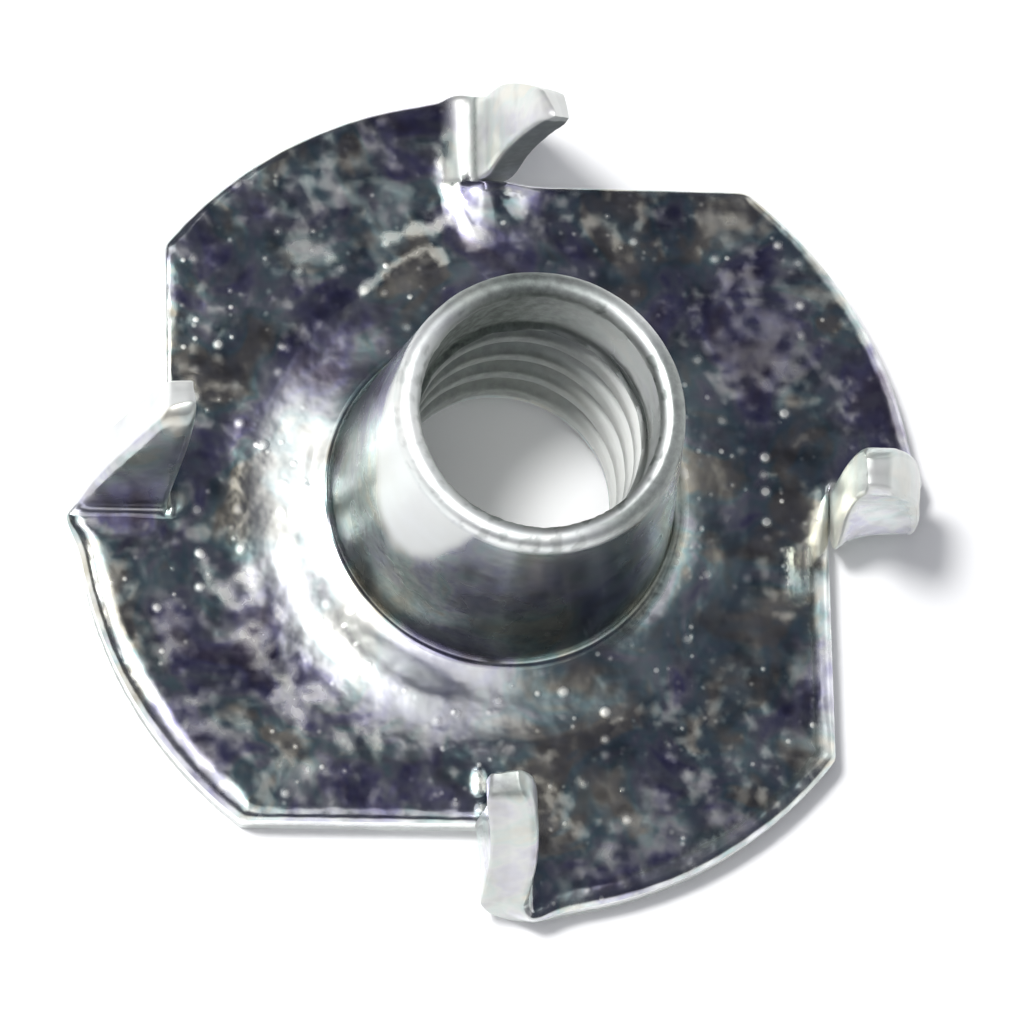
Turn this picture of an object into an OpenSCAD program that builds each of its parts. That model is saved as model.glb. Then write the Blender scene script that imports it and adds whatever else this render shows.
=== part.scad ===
// Four-prong tee nut: a round flange and a drawn, internally threaded barrel in
// one piece of plated sheet steel. Four straps are sheared along straight cuts
// at the edge of the flange and bent up into pointed prongs.
//
// Millimetres, +Z up. The origin is on the barrel axis at the underside of the
// flange. The barrel and the prongs rise along +Z. The first prong is on the +Y
// side, and each next one is a quarter turn on, clockwise from above.

/* [Flange] */
// Diameter of the round blank
flange_d = 19.05; // [18:0.05:21]
// Thickness of the sheet
sheet_t = 1.05; // [0.8:0.05:1.25]
// Radius that shearing rolls over the upper edge of the blank
edge_roll = 0.3; // [0.1:0.05:0.35]

/* [Barrel] */
// Overall height, from the underside of the flange to the rim
total_h = 7.65; // [7.2:0.05:10]
// Outside diameter of the barrel at its foot
barrel_foot_d = 7.8; // [7.4:0.05:8.2]
// Outside diameter of the barrel at its rounded rim
barrel_rim_d = 6.4; // [6.3:0.05:6.9]
// Diameter of the bore, the minor diameter of its 1/4-20 thread
bore_d = 5; // [4.95:0.05:5.25]
// Radius round the outside of the rim
rim_round = 0.3; // [0.1:0.05:0.3]
// Width of the countersink in the mouth of the bore
mouth_chamfer = 0.15; // [0.05:0.05:0.2]
// Draw radius where the underside turns up into the bore
entry_round = 0.9; // [0.4:0.05:1]

/* [Skirt] */
// Diameter at which the raised skirt leaves the flat of the flange
skirt_d = 11; // [10:0.1:12]
// Height of the skirt above the flange at the foot of the barrel
skirt_rise = 0.3; // [0.15:0.05:0.45]
// Radius of the fillet in the corner at the foot of the barrel
foot_fillet = 0.2; // [0.1:0.05:0.3]

/* [Prongs] */
// Width of the strip outside each straight cut
prong_w = 2.025; // [1.6:0.025:2.3]
// Start of each bend, measured back from the barrel axis along the cut
bend_start = 0.8; // [0.5:0.05:1.2]
// Inside radius of the bend
bend_r = 0.4; // [0.3:0.05:0.6]
// Height above the flange up to which the prong stands square
straight_h = 1.5; // [1:0.1:2.5]
// Radius of the forward curl above that, on its hollow side
curl_r = 10; // [6:0.5:15]
// Height of the prong tips above the upper face of the flange
prong_h = 4.55; // [3.5:0.05:5.5]
// Height above the flange at which the taper of the prong starts
taper_start = 0.3; // [0.1:0.05:0.6]
// Bulge of the tapered edge beyond a straight line
taper_bulge = 0.15; // [0.05:0.01:0.2]
// Width of the prong at its blunt tip
prong_tip_w = 0.4; // [0.25:0.05:0.6]
// Inset of the prong from the rim of the blank, drawn in by bending
prong_inset = 0.06; // [0.05:0.01:0.12]
// Width of the sheared slit between a prong and the flange
slit_gap = 0.05; // [0.03:0.01:0.15]

/* [Hidden] */
$fn = 72;
small_fn = 24;
bend_fn = 48;
large_fn = 144;
steel = [0.62, 0.64, 0.68];
prong_count = 4;
// How far a cut runs past what it cuts
over = 1;
// How far a joining piece reaches into what it joins
bond = 0.05;
// How far the fillet cuts past its tangent points
nest = 0.001;
flange_r = flange_d / 2;
cut_y = flange_r - prong_w;
bore_r = bore_d / 2;

// Skirt: a concave arc, tangent to the flange, up to the foot of the barrel.
foot_r = barrel_foot_d / 2;
foot_z = sheet_t + skirt_rise;
skirt_r = skirt_d / 2;
skirt_angle = 2 * atan(skirt_rise / (skirt_r - foot_r));
skirt_arc = (skirt_r - foot_r) / sin(skirt_angle);
skirt_c = [skirt_r, sheet_t + skirt_arc];

// Barrel: a slightly conical wall, tangent to the rounding of the rim.
rim_c = [barrel_rim_d / 2 - rim_round, total_h - rim_round];
rim_dist = norm(rim_c - [foot_r, foot_z]);
wall_lean = atan((foot_r - rim_c.x) / (rim_c.y - foot_z)) - asin(rim_round / rim_dist);
wall_n = [cos(wall_lean), sin(wall_lean)];
wall_up = [-sin(wall_lean), cos(wall_lean)];
wall_top = rim_c + rim_round * wall_n;

// Fillet in the corner between the skirt and the wall.
fillet_gap = foot_fillet - nest;
fillet_side = (skirt_c - [foot_r, foot_z]) * wall_n - fillet_gap;
fillet_down = sqrt(pow(skirt_arc - fillet_gap, 2) - pow(fillet_side, 2));
fillet_c = skirt_c - fillet_side * wall_n - fillet_down * wall_up;
fillet_n = (skirt_c - fillet_c) / (skirt_arc - fillet_gap);

// Prong: a square bend, a straight leg and a curl that leans forward.
prong_in = cut_y + slit_gap;
prong_out = sqrt(flange_r * flange_r - bend_start * bend_start) - prong_inset;
prong_top = sheet_t + prong_h;
bend_c = [-bend_start, sheet_t + bend_r];
leg_x = bend_c.x + bend_r;
leg_top = sheet_t + straight_h;
curl_c = [leg_x + sheet_t + curl_r, leg_top];
curl_sweep = asin((prong_h - straight_h) / (curl_r + sheet_t));

// Taper: an arc from the outer edge of the prong to its tip.
taper_a = [prong_out, sheet_t + taper_start];
taper_b = [prong_in + prong_tip_w, prong_top];
taper_chord = norm(taper_b - taper_a);
taper_r = taper_chord * taper_chord / (8 * taper_bulge) + taper_bulge / 2;
taper_n = [taper_b.y - taper_a.y, taper_a.x - taper_b.x] / taper_chord;
taper_c = (taper_a + taper_b) / 2 - (taper_r - taper_bulge) * taper_n;

// Corner of a square of side r, outside its inscribed quarter circle.
module corner_2d(r) {
  difference() {
    square(r + over);
    circle(r, $fn = small_fn);
  }
}

// Round blank with its upper edge rolled over.
module blank() {
  rotate_extrude()
    difference() {
      square([flange_r, sheet_t]);
      translate([flange_r - edge_roll, sheet_t - edge_roll])
        corner_2d(edge_roll);
    }
}

// What one straight cut removes: the strip beside the prong and the rolled edge.
module edge_cut() {
  translate([-bend_start, cut_y, -over])
    cube([flange_d, flange_r, sheet_t + 2 * over]);
  translate([-bend_start, cut_y - edge_roll, sheet_t - edge_roll])
    rotate([90, 0, 90])
      linear_extrude(flange_d)
        corner_2d(edge_roll);
}

module flange() {
  difference() {
    blank();
    for (i = [0 : prong_count - 1])
      rotate([0, 0, -i * 360 / prong_count])
        edge_cut();
  }
}

module skirt_2d() {
  difference() {
    square([skirt_r, foot_z]);
    translate(skirt_c)
      circle(skirt_arc, $fn = large_fn);
  }
}

module fillet_2d() {
  difference() {
    polygon([
      [foot_r, foot_z] - bond * (wall_n + fillet_n),
      fillet_c - (foot_fillet + bond) * wall_n,
      fillet_c,
      fillet_c - (foot_fillet + bond) * fillet_n
    ]);
    translate(fillet_c)
      circle(foot_fillet, $fn = small_fn);
  }
}

module barrel_2d() {
  polygon([
    [0, 0],
    [foot_r, 0],
    [foot_r, foot_z],
    wall_top,
    rim_c,
    [rim_c.x, total_h],
    [0, total_h]
  ]);
  translate(rim_c)
    circle(rim_round, $fn = small_fn);
}

module barrel() {
  rotate_extrude()
    skirt_2d();
  rotate_extrude()
    fillet_2d();
  rotate_extrude()
    barrel_2d();
}

// Bore with its countersunk mouth and the drawn radius at the underside.
module bore_cut() {
  rotate_extrude() {
    translate([0, -over])
      square([bore_r, total_h + 2 * over]);
    translate([0, -over])
      square([bore_r + entry_round, over]);
    polygon([
      [0, total_h - mouth_chamfer],
      [bore_r, total_h - mouth_chamfer],
      [bore_r + mouth_chamfer, total_h],
      [bore_r + mouth_chamfer, total_h + over],
      [0, total_h + over]
    ]);
    difference() {
      square([bore_r + entry_round, entry_round]);
      translate([bore_r + entry_round, entry_round])
        circle(entry_round, $fn = small_fn);
    }
  }
}

// Section of a prong: across the strip along y, through the sheet along x, with
// the rolled edges on its upper face at x = 0 and the lower face at x = sheet_t.
module strip_2d() {
  difference() {
    translate([0, -prong_out])
      square([sheet_t, prong_out - prong_in]);
    translate([edge_roll, -prong_in - edge_roll])
      rotate(90)
        corner_2d(edge_roll);
    translate([edge_roll, -prong_out + edge_roll])
      rotate(180)
        corner_2d(edge_roll);
  }
}

// Strip bent up along +Z, before its taper: bend, straight leg and curl.
module bent_strip() {
  rotate([90, 0, 0]) {
    translate(bend_c)
      rotate([0, 0, -90])
        rotate_extrude(angle = 90, $fn = bend_fn)
          translate([bend_r, 0])
            strip_2d();
    translate([leg_x, bend_c.y, 0])
      rotate([-90, 0, 0])
        linear_extrude(leg_top - bend_c.y)
          mirror([0, 1])
            strip_2d();
    translate(curl_c)
      mirror([1, 0, 0])
        rotate_extrude(angle = curl_sweep)
          translate([curl_r + sheet_t, 0])
            mirror([1, 0])
              strip_2d();
  }
}

module prong() {
  intersection() {
    bent_strip();
    translate([-bend_start - over, 0, 0])
      rotate([90, 0, 90])
        linear_extrude(flange_r)
          intersection() {
            translate([0, -over])
              square([flange_r, prong_top + 2 * over]);
            translate(taper_c)
              circle(taper_r, $fn = large_fn);
          }
  }
}

module prongs() {
  for (i = [0 : prong_count - 1])
    rotate([0, 0, -i * 360 / prong_count])
      prong();
}

module tee_nut() {
  color(steel)
    difference() {
      union() {
        flange();
        barrel();
        prongs();
      }
      bore_cut();
    }
}

tee_nut();
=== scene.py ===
"""Visual model of a four-prong tee nut in zinc-plated sheet steel.

The nut is one closed mesh, made as the real one is: a flat blank is cut with its
four prong strips still in its plane, its edges get the roll and the tear of the
shear, and its strips are bent up. The drawn barrel with its thread meets the blank
on one circle of the upper face and one of the underside. Lengths of the nut and the
camera are in millimetres until they are used; those of the studio are in metres.
"""

import math

import bpy
import numpy as np
from mathutils import Matrix, Vector, noise
from mathutils.geometry import delaunay_2d_cdt


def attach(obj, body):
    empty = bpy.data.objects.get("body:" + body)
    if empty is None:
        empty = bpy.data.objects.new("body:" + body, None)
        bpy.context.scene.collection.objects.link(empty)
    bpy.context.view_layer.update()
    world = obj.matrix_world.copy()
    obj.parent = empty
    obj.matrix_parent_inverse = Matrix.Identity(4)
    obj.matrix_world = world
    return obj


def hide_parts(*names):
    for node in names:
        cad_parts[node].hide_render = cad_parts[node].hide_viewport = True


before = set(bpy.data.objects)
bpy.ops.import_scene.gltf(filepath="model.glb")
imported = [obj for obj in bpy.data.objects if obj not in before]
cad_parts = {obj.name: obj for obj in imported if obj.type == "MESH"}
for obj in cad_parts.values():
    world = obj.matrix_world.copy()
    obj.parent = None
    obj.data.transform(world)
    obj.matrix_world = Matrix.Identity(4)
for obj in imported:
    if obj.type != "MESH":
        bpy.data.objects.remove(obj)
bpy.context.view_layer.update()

MM = 0.001
PIECE = "tee_nut_visual"

# Looks kept at each vertex: dark, from the shear and as painted shade in hollows and on
# sides away from the light; bare of film, where rubbed and as a painted highlight; calm
# (free of bumps); frosted, also as a painted highlight; and dull.
LOOKS = ("torn_and_shade", "bare_and_highlight", "calm", "frost_and_highlight", "dull")
EDGE_LOOK = (0.0, 0.95, 0.7, 0.0, 0.3)
UNDERSIDE_LOOK = (0.0, 0.3, 0.3, 0.1, 0.3)
DRAW_LOOK = (0.3, 0.3, 0.8, 0.0, 0.5)

# Blank. A straight cut is CUT_Y from the axis, and the prong's edge across the slit is
# SLIT_Y. The slit ends and the bend starts at these x along the cut.
FLANGE_R = 9.525
SHEET_T = 1.05
CUT_Y = 7.5
SLIT_Y = 7.53
SLIT_END_X = -0.3
BEND_X = -0.8
# How far bending draws a prong in from the rim, and how much of its tip ends square.
PRONG_INSET = 0.06
TIP_FLAT = 0.1
# How far shearing rolls over the upper edge, for each quarter of the blank: the arc of
# the rim, the straight cut, the sides of the prong and its tip.
ROLLS = {
    "rim": (0.34, 0.42, 0.52, 0.2),
    "cut": (0.18, 0.5, 0.3, 0.12),
    "strip": (0.18, 0.18, 0.18, 0.18),
    "tip": (0.22, 0.22, 0.22, 0.22),
}
# How deep the roll is for its width, and how far the lower edge is rounded.
ROLL_DEPTH = 0.6
UNDER_ROUNDS = {"rim": 0.06, "cut": 0.06, "strip": 0.05, "tip": 0.05}
# Length over which wear thins a tip, and the share of the sheet left at its end.
TIP_WEAR = 0.6
TIP_THIN = 0.6
# Rings down the side: shares of its height, and how far its torn band is set back.
SIDE_SHARES = (0.9, 0.75, 0.62, 0.52, 0.42, 0.32, 0.22, 0.12, 0.05, 0.0)
SIDE_INSETS = (0.0, 0.0, 0.004, 0.012, 0.024, 0.032, 0.036, 0.036, 0.036, 0.036)

# Prong: height at which its outer edge starts to taper, width of its tip, inside radius
# of the bend, height at which the curl starts, and its radius.
TAPER_Z = 1.35
TIP_W = 0.4
BEND_R = 0.4
LEG_TOP = 2.55
CURL_R = 10.0
# Width of the band along the rim that the bend squeezes out.
SQUEEZE_W = 1.1
# Length up to which the flange's edge follows the bend, and over which it eases.
DRAG_S = 0.5
DRAG_EASE = 0.25
# Place and width of the painted shade in the crease across a bend.
CREASE_S = 0.8
CREASE_W = 0.1

# Barrel: height, outer radii at foot and rim, rounding of the rim, radius and depth at
# which the lip ends inside, bore, draw radius on the underside, fillet at the foot.
TOTAL_H = 7.65
FOOT_R = 3.9
RIM_R = 3.2
RIM_ROUND = 0.3
LIP_R = 2.64
LIP_H = 0.26
BORE_R = 2.5
ENTRY_R = 0.9
FOOT_FILLET = 0.2

# Skirt: outer radius, rise and run to the foot of the barrel, and radius of its arc.
SKIRT_R = 5.5
SKIRT_RISE = 0.3
SKIRT_RUN = SKIRT_R - FOOT_R
SKIRT_ARC = SKIRT_RUN / math.sin(2 * math.atan(SKIRT_RISE / SKIRT_RUN))
# Low swelling of the sheet round it: radii at which it starts and is full, and height.
SWELL_R = 6.3
SWELL_FULL_R = 4.7
SWELL_H = 0.055
# Where the swelling is higher.
BULGE_R = 6.7
BULGE_RUN = 2.0
BULGE_AZIMUTH = math.radians(235)
BULGE_SPREAD = math.radians(24)
BULGE_H = 0.11
# Part of the skirt made bare: a little all round, burnished by the die, and fully on
# the lower left, a painted highlight where the light falls.
SKIRT_HIGHLIGHT_AZIMUTH = math.radians(212)
SKIRT_HIGHLIGHT_HALF = math.radians(70)
SKIRT_HIGHLIGHT_FADE = 0.35
# Shallow groove in the skirt, left of the barrel.
GROOVE_R = 4.3
GROOVE_W = 0.055
GROOVE_DEPTH = 0.03
GROOVE_AZIMUTH = math.radians(172)

# Thread: 20 turns to the inch, from its gentle start to the plain throat.
PITCH = 1.27
THREAD_DEPTH = 0.36
THREAD_START = 1.0
THREAD_TOP = 5.5
# The groove within one pitch: its middle, half its floor, and a flank.
THREAD_MIDDLE = 0.1
THREAD_FLOOR = 0.08
THREAD_FLANK = 0.28
# Mesh rows within one pitch, from the groove over the crest.
ROWS = (0.0, 0.06, 0.14, 0.2, 0.25, 0.31, 0.37, 0.42, 0.52, 0.64, 0.74, 0.79, 0.85, 0.91, 0.96)

# Circles on which the blank meets the barrel, above and on the underside.
RING_R = 5.7
UNDER_R = 4.3
# Mesh: points round the barrel, and steps of the outline before and after smoothing, of
# the upper face, the underside and the backs of the strips.
COLUMNS = 288
OUTLINE_STEP = 0.02
EDGE_STEP = 0.1
TOP_STEP = 0.1
BOTTOM_STEP = 0.4
STRIP_STEP = 0.16
# Half windows, in outline steps, that smooth its corners and its rounding.
CORNER_WINDOW = 4
ROUNDING_WINDOW = 15
# Rows of points along the roll, as shares of its width.
ROLL_ROWS = (0.1, 0.28, 0.5, 0.75, 1.0)
# Random shift of the grid points, as a share of the step, and the seeds.
JITTER = 0.18
TOP_SEED = 5
BOTTOM_SEED = 6
STRIP_SEED = 7
# Points measured at a time.
BATCH = 2000
# Edges that turn by more than this are shaded sharp.
SHARP_ANGLE = math.radians(48)

# How each prong differs from a perfect bend, as the photograph shows.
# lean: extra degrees at the bend; curl: factor on the curl; tip: height; belly: bulge
# of the tapered edge; swell: how far the squeezed corner of the bend stands out; web:
# torn metal at the root, outside the bend; soft: how much wider and earlier the bend
# is; thin: share of the thickness left; tuck: how far the tip leans in towards the
# barrel; drag: how much the flange is dragged up beside the bend; reach: how far inward
# that goes; slant: how much shorter the outer side of the tip is; matt and bright: how
# frosted and how bare it is; and the last three keys of PLAIN: how dark its edge on the
# slit is, torn metal with painted shade over it, how dark the painted shade in the
# crease across its bend is, and how dark its tip is.
PLAIN = dict(web=0.0, thin=1.0, tuck=0.0, torn_and_shade=0.0, crease=0.0, dark_tip=0.0)
PRONGS = [
    dict(
        PLAIN, lean=-4.5, curl=1.15, tip=5.65, belly=0.32, swell=0.2, soft=0.45, thin=0.66,
        drag=0.5, reach=1.6, slant=0.35, matt=0.8, bright=0.8, torn_and_shade=0.6, crease=0.7,
    ),
    dict(
        PLAIN, lean=0.0, curl=1.0, tip=5.6, belly=0.36, swell=0.2, web=0.5, soft=-0.1,
        drag=0.05, reach=0.8, slant=0.12, matt=0.6, bright=0.5,
    ),
    dict(
        PLAIN, lean=-1.0, curl=1.05, tip=5.6, belly=0.15, swell=0.26, web=0.12, soft=-0.25,
        drag=0.1, reach=0.8, slant=0.1, matt=0.45, bright=0.25, torn_and_shade=0.3, dark_tip=0.6,
    ),
    dict(
        PLAIN, lean=-5.0, curl=0.75, tip=5.75, belly=0.27, swell=0.3, web=0.1, soft=-0.15,
        tuck=0.22, drag=0.05, reach=0.5, slant=0.12, matt=0.1, bright=0.9, torn_and_shade=0.1,
    ),
]


def smooth(t):
    """Cubic step from 0 to 1."""
    t = np.clip(t, 0.0, 1.0)
    return t * t * (3.0 - 2.0 * t)


def bell(x, centre, width):
    """Gaussian bell of height 1."""
    return np.exp(-(((x - centre) / width) ** 2))


def turn(points, k):
    """Plane points turned by k quarter turns, clockwise from above."""
    c, s = ((1, 0), (0, -1), (-1, 0), (0, 1))[k % 4]
    x, y = points[..., 0], points[..., 1]
    return np.stack((c * x - s * y, s * x + c * y), -1)


def field(points, scale, seed):
    """Smooth noise of about -1 to 1, with cells of the given size, one per seed."""
    shift = seed * 17.13
    q = np.asarray(points, float) / scale + (shift, -shift, 0.5 * shift)
    return np.array([noise.noise(p) for p in q.tolist()])


def around(r, theta, z):
    """Points at the given radii, azimuths and heights."""
    return np.stack((r * np.cos(theta), r * np.sin(theta), z + 0 * theta), -1)


def level(points):
    """Flat points, with a height of 0."""
    return np.column_stack((points, np.zeros(len(points))))


def angle_from(centre, azimuth):
    """Angle from the centre to each azimuth, within half a turn either way."""
    return np.mod(azimuth - centre + math.pi, math.tau) - math.pi


def taper_edge(z, k):
    """Local y of the outer edge of prong k at height z. The edge is an arc."""
    p = PRONGS[k]
    start = np.array([math.sqrt(FLANGE_R**2 - BEND_X**2) - PRONG_INSET, TAPER_Z])
    end = np.array([SLIT_Y + TIP_W, p["tip"]])
    chord = np.linalg.norm(end - start)
    radius = chord**2 / (8 * p["belly"]) + p["belly"] / 2
    normal = np.array([end[1] - start[1], start[0] - end[0]]) / chord
    centre = (start + end) / 2 - (radius - p["belly"]) * normal
    z = np.clip(z, TAPER_Z, p["tip"])
    return centre[0] + np.sqrt(radius**2 - (z - centre[1]) ** 2)


def bend_path(s, k):
    """Middle of the sheet of prong k: x, z and heading at flat length s."""
    p = PRONGS[k]
    s = np.asarray(s, float) + p["soft"]
    beta = math.radians(90.0 + p["lean"])
    r_mid = BEND_R + p["soft"] + SHEET_T / 2
    bend_end = r_mid * beta
    curl_start = bend_end + (LEG_TOP - SHEET_T - BEND_R - p["soft"])
    r_curl = (CURL_R + SHEET_T / 2) / p["curl"]
    a = np.clip(s, 0, bend_end) / r_mid
    leg = np.clip(s - bend_end, 0, curl_start - bend_end)
    curl = np.maximum(s - curl_start, 0) / r_curl
    x = BEND_X - p["soft"] + r_mid * np.sin(a) + np.minimum(s, 0) + leg * math.cos(beta)
    z = SHEET_T / 2 + r_mid * (1 - np.cos(a)) + leg * math.sin(beta)
    x = x + r_curl * (np.sin(beta) - np.sin(beta - curl))
    z = z + r_curl * (np.cos(beta - curl) - np.cos(beta))
    return x, z, a - curl


def strip_length(k):
    """Flat length at which the highest corner of the tip reaches its height."""
    # Every tip lies between these two lengths.
    s = np.linspace(3.0, 7.5, 901)
    _, z, heading = bend_path(s, k)
    return float(np.interp(PRONGS[k]["tip"], z + SHEET_T / 2 * np.cos(heading), s))


LENGTHS = [strip_length(k) for k in range(len(PRONGS))]


def line(a, b):
    """Points from a up to but not including b."""
    a, b = np.array(a, float), np.array(b, float)
    n = max(2, int(round(np.linalg.norm(b - a) / OUTLINE_STEP)))
    return a + (b - a) * (np.arange(n) / n)[:, None]


def ring_average(values, half):
    """Mean over a sliding window on a closed line of values."""
    kernel = np.ones(2 * half + 1) / (2 * half + 1)
    padded = np.concatenate((values[-half:], values, values[:half]))
    return np.stack([np.convolve(c, kernel, "valid") for c in padded.T], -1)


def blank_outline():
    """Flat outline of the blank, clockwise from above, with its unbent strips, and
    the rounding of its upper and of its lower edge at each point."""
    corner = math.atan2(math.sqrt(FLANGE_R**2 - CUT_Y**2), CUT_Y)
    end = math.acos(-BEND_X / FLANGE_R)
    parts, rounds = [], []

    def put(points, k, kind):
        parts.append(turn(points, k))
        both = np.tile((ROLLS[kind][k], UNDER_ROUNDS[kind]), (len(points), 1))
        if kind == "cut":
            # The roll is slight beside the slit and grows along the cut.
            both[:, 0] *= 0.3 + 0.7 * smooth((points[:, 0] - SLIT_END_X) / 1.2)
        rounds.append(both)

    for k in range(len(PRONGS)):
        corner_xy = (FLANGE_R * math.sin(corner), CUT_Y)
        put(line((SLIT_END_X, CUT_Y), corner_xy), k, "cut")
        n = int(FLANGE_R * (end - corner) / OUTLINE_STEP)
        phi = np.linspace(corner, end, n, endpoint=False)
        put(FLANGE_R * np.stack((np.sin(phi), np.cos(phi)), -1), k, "rim")
        j = (k + 1) % len(PRONGS)
        s = np.arange(0, LENGTHS[j] - PRONGS[j]["slant"], OUTLINE_STEP)
        _, z, _ = bend_path(s, j)
        # The inset eases in over the bend.
        y = taper_edge(z, j) + PRONG_INSET * (1 - smooth(s / 0.7))
        put(np.stack((BEND_X + s, y), -1), j, "strip")
        tip_x = BEND_X + LENGTHS[j]
        corners = [
            (BEND_X + s[-1], y[-1]),
            (tip_x, SLIT_Y + TIP_FLAT),
            (tip_x, SLIT_Y),
            (SLIT_END_X, SLIT_Y),
            (SLIT_END_X, CUT_Y),
        ]
        for a, b, kind in zip(corners, corners[1:], ("tip", "tip", "strip", "strip")):
            put(line(a, b), j, kind)
    values = np.column_stack((np.concatenate(parts), np.concatenate(rounds)))
    for _ in range(2):
        values = ring_average(values, CORNER_WINDOW)
    values[:, 2:] = ring_average(values[:, 2:], ROUNDING_WINDOW)
    steps = np.linalg.norm(np.roll(values[:, :2], -1, 0) - values[:, :2], axis=1)
    along = np.concatenate(([0], np.cumsum(steps)))
    closed = np.concatenate((values, values[:1]))
    at = np.linspace(0, along[-1], int(along[-1] / EDGE_STEP), endpoint=False)
    values = np.stack([np.interp(at, along, c) for c in closed.T], -1)
    return values[:, :2], values[:, 2], values[:, 3]


def inward_normals(outline):
    """Unit normals into the blank, for an outline that runs clockwise."""
    t = np.roll(outline, -1, 0) - np.roll(outline, 1, 0)
    t /= np.linalg.norm(t, axis=1)[:, None]
    return np.stack((t[:, 1], -t[:, 0]), -1)


def edge_distance(points, outline):
    """Distance of each point from the outline, whether it lies inside, and the
    outline point before the nearest place."""
    a = outline
    b = np.roll(outline, -1, 0)
    ab = b - a
    length2 = (ab**2).sum(1)
    slope = ab[:, 0] / np.where(ab[:, 1] == 0, 1e-12, ab[:, 1])
    dist, inside, nearest = [], [], []
    for i in range(0, len(points), BATCH):
        p = points[i : i + BATCH, None]
        t = np.clip(((p - a) * ab).sum(2) / length2, 0, 1)
        gap2 = ((p - a - t[..., None] * ab) ** 2).sum(2)
        nearest.append(gap2.argmin(1))
        dist.append(np.sqrt(gap2.min(1)))
        # Inside, a ray along x crosses the outline an odd number of times.
        y = p[:, :, 1]
        crosses = (a[:, 1] > y) != (b[:, 1] > y)
        inside.append((crosses & (p[:, :, 0] < a[:, 0] + (y - a[:, 1]) * slope)).sum(1) % 2 == 1)
    return np.concatenate(dist), np.concatenate(inside), np.concatenate(nearest)


def grid(step, seed):
    """Jittered triangular grid over the blank's square."""
    rng = np.random.default_rng(seed)
    reach = FLANGE_R + 0.5
    rows = np.arange(-reach, reach, step * math.sqrt(3) / 2)
    x, y = np.meshgrid(np.arange(-reach, reach, step), rows)
    x = x + (np.arange(len(rows)) % 2)[:, None] * step / 2
    points = np.stack((x.ravel(), y.ravel()), -1)
    return points + rng.uniform(-JITTER, JITTER, points.shape) * step


def strip_of(points):
    """For each flat point the index of the strip it lies on, or -1."""
    owner = np.full(len(points), -1)
    for k in range(len(PRONGS)):
        local = turn(points, -k)
        on = (local[:, 1] > (CUT_Y + SLIT_Y) / 2) & (local[:, 0] > BEND_X - PRONGS[k]["soft"])
        owner[on] = k
    return owner


def strip_looks(points, owner):
    """For each flat point: how far up its strip it lies, how near the tip, how matt and
    how bright the strip is, and the dark of its edge on the slit, torn metal with painted
    shade over it, and the painted shade of its crease."""
    up, at_tip, matt, bright, slit, crease = np.zeros((6, len(points)))
    for k, p in enumerate(PRONGS):
        on = owner == k
        local = turn(points[on], -k)
        s = local[:, 0] - BEND_X
        up[on] = smooth((s + p["soft"]) / 0.7)
        at_tip[on] = smooth((s - LENGTHS[k] + 0.4) / 0.35)
        matt[on], bright[on] = p["matt"], p["bright"]
        # The slit edge is dark: torn metal, with painted shade over it.
        slit[on] = p["torn_and_shade"] * (local[:, 1] < SLIT_Y + 0.02) * (s < LENGTHS[k] - 0.25)
        slit[on] = np.maximum(slit[on], p["dark_tip"] * at_tip[on])
        # Painted shade in the crease across the bend.
        crease[on] = p["crease"] * bell(s, CREASE_S, CREASE_W)
    return up, at_tip, matt, bright, slit, crease


def triangulate(outline, ring, free):
    """Points and triangles between the outline and the ring, which come first."""
    n = len(outline)
    points = np.concatenate((outline, ring, free))
    edges = []
    for lo, hi in ((0, n), (n, n + len(ring))):
        ids = np.arange(lo, hi)
        edges += list(zip(ids.tolist(), np.roll(ids, -1).tolist()))
    verts, _, faces, origin, _, _ = delaunay_2d_cdt(
        [tuple(p) for p in points.tolist()], edges, [], 0, 1e-7, True
    )
    back = np.array([o[0] for o in origin])
    tris = back[np.array(faces)]
    centre = points[tris].mean(1)
    kept = np.hypot(*centre.T) > np.hypot(*ring[0]) - 1e-4
    kept[kept] = edge_distance(centre[kept], outline)[1]
    tris = tris[kept]
    a, b, c = (points[tris[:, i]] for i in range(3))
    area = np.cross(b - a, c - a)
    tris[area < 0] = tris[area < 0][:, ::-1]
    return points, tris[np.abs(area) > 1e-10]


def circle_points(r):
    """Flat points round the axis, one for each column of the barrel."""
    a = math.tau * np.arange(COLUMNS) / COLUMNS
    return r * np.stack((np.cos(a), np.sin(a)), -1)


def burnish_and_highlight(azimuth):
    """How bare the skirt is at each azimuth: burnished a little all round, with a painted
    highlight on the lower left.
    """
    gap = np.abs(angle_from(SKIRT_HIGHLIGHT_AZIMUTH, azimuth))
    return 0.1 + 0.9 * smooth((SKIRT_HIGHLIGHT_HALF - gap) / SKIRT_HIGHLIGHT_FADE)


def skirt_height(r, azimuth):
    """Height of the drawn skirt above the flat of the flange."""
    d = np.clip(SKIRT_R - r, 0, SKIRT_RUN)
    swell = SWELL_H * smooth((SWELL_R - r) / (SWELL_R - SWELL_FULL_R))
    side = bell(angle_from(BULGE_AZIMUTH, azimuth), 0, BULGE_SPREAD)
    swell = swell + BULGE_H * smooth((BULGE_R - r) / BULGE_RUN) * side
    # The swelling dies out at the foot of the barrel.
    swell = swell * smooth((r - FOOT_R) / 1.2)
    return SKIRT_ARC - np.sqrt(SKIRT_ARC**2 - d**2) + swell
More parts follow.
